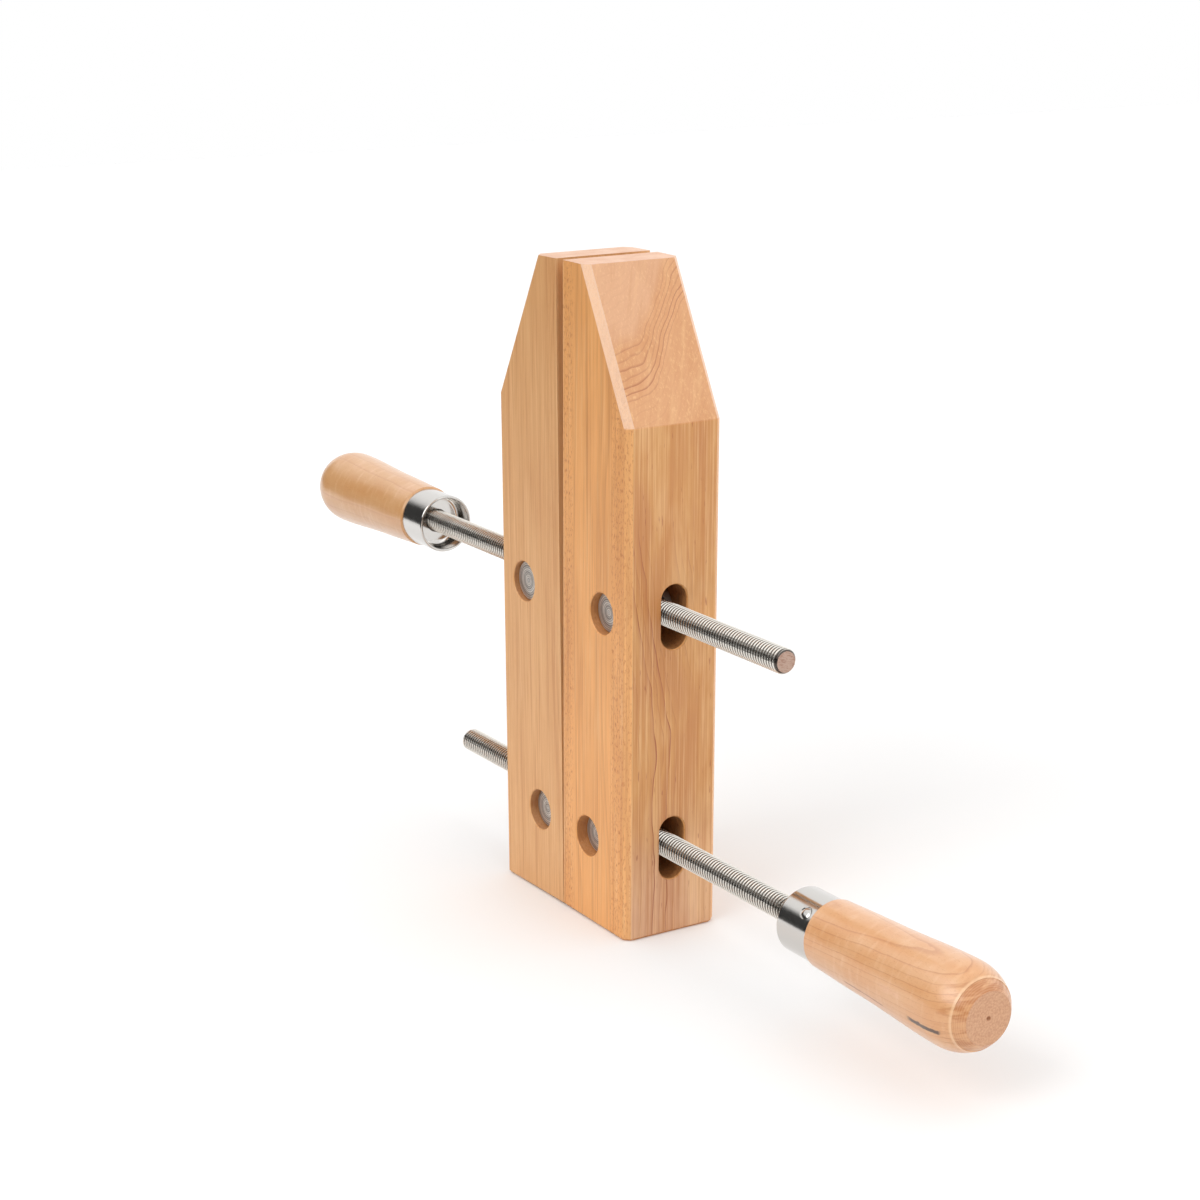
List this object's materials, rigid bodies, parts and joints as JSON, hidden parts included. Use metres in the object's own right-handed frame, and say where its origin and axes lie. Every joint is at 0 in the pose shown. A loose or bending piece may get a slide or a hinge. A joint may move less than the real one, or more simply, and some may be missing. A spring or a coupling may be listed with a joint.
{
  "type": "handscrew clamp",
  "caption": "Wooden handscrew clamp: two tapered hardwood jaws drawn together by two double-threaded steel spindles with swivel nuts and turned handles.",
  "frame": {"origin": "on the surface that the clamp stands on, under the seam between the jaws, midway through their thickness", "axes": "+X across the jaws from the left one to the right one, -Y the face that shows the nuts, +Z along the jaws from the butts to the tips"},
  "size_m": [0.4578, 0.0414, 0.2544],
  "materials": {
    "jaw_wood": "smooth, waxed",
    "handle_wood": "varnished",
    "nut_steel": "turned",
    "spindle_steel": "bright, threaded",
    "ferrule_steel": "polished"
  },
  "bodies": {
    "jaw_left": {"jaw_left": "jaw_wood"},
    "nut_middle_left": {"nut_middle_left": "nut_steel"},
    "nut_end_left": {"nut_end_left": "nut_steel"},
    "spindle_middle": {"spindle_middle": "spindle_steel"},
    "handle_middle": {"handle_middle": "handle_wood", "ferrule_middle": "ferrule_steel", "ferrule_pin_middle": "ferrule_steel"},
    "spindle_end": {"spindle_end": "spindle_steel"},
    "handle_end": {"handle_end": "handle_wood", "ferrule_end": "ferrule_steel", "ferrule_pin_end": "ferrule_steel"},
    "nut_end_right": {"nut_end_right": "nut_steel"},
    "jaw_right": {"jaw_right": "jaw_wood"},
    "nut_middle_right": {"nut_middle_right": "nut_steel"}
  },
  "joints": [
    {"name": "nut_middle_left_swivel", "type": "hinge", "parent": "jaw_left", "child": "nut_middle_left", "pos_m": [-0.02844, 0, 0.12566], "axis": [0, 1, 0], "range_deg": [0, 5]},
    {"name": "nut_end_left_swivel", "type": "hinge", "parent": "jaw_left", "child": "nut_end_left", "pos_m": [-0.01768, 0, 0.03455], "axis": [0, 1, 0], "range_deg": [0, 5]},
    {"name": "spindle_middle_feed", "type": "slide", "parent": "nut_middle_left", "child": "spindle_middle", "axis": [1, 0, 0], "range_m": [0, 0.0635]},
    {"name": "handle_middle_turn", "type": "hinge", "parent": "spindle_middle", "child": "handle_middle", "pos_m": [0, 0, 0.12566], "axis": [1, 0, 0], "range_deg": [-14400.01, 0]},
    {"name": "spindle_end_shift", "type": "slide", "parent": "spindle_middle", "child": "spindle_end", "axis": [0.996, 0, 0.0888], "range_m": [0, 0.0138]},
    {"name": "handle_end_turn", "type": "hinge", "parent": "spindle_end", "child": "handle_end", "pos_m": [0, 0, 0.03455], "axis": [1, 0, 0], "range_deg": [-14400.01, 0]},
    {"name": "nut_end_right_feed", "type": "slide", "parent": "spindle_end", "child": "nut_end_right", "axis": [1, 0, 0], "range_m": [0, 0.0635]},
    {"name": "jaw_right_tilt", "type": "hinge", "parent": "nut_end_right", "child": "jaw_right", "pos_m": [0.01768, 0, 0.03455], "axis": [0, 1, 0], "range_deg": [0, 5]},
    {"name": "nut_middle_right_swivel", "type": "hinge", "parent": "jaw_right", "child": "nut_middle_right", "pos_m": [0.02844, 0, 0.12566], "axis": [0, 1, 0], "range_deg": [-5, 0]}
  ],
  "couplings": [
    {"joint": "nut_end_left_swivel", "follows": "nut_middle_left_swivel", "ratio": 1},
    {"joint": "spindle_end_shift", "follows": "nut_middle_left_swivel", "m_per_rad": 0.15819},
    {"joint": "jaw_right_tilt", "follows": "nut_middle_left_swivel", "ratio": 1},
    {"joint": "nut_middle_right_swivel", "follows": "nut_middle_left_swivel", "ratio": -1},
    {"joint": "handle_middle_turn", "follows": "spindle_middle_feed", "rad_per_m": -3957.9},
    {"joint": "handle_end_turn", "follows": "spindle_middle_feed", "rad_per_m": -3957.9},
    {"joint": "nut_end_right_feed", "follows": "spindle_middle_feed", "ratio": 1}
  ]
}
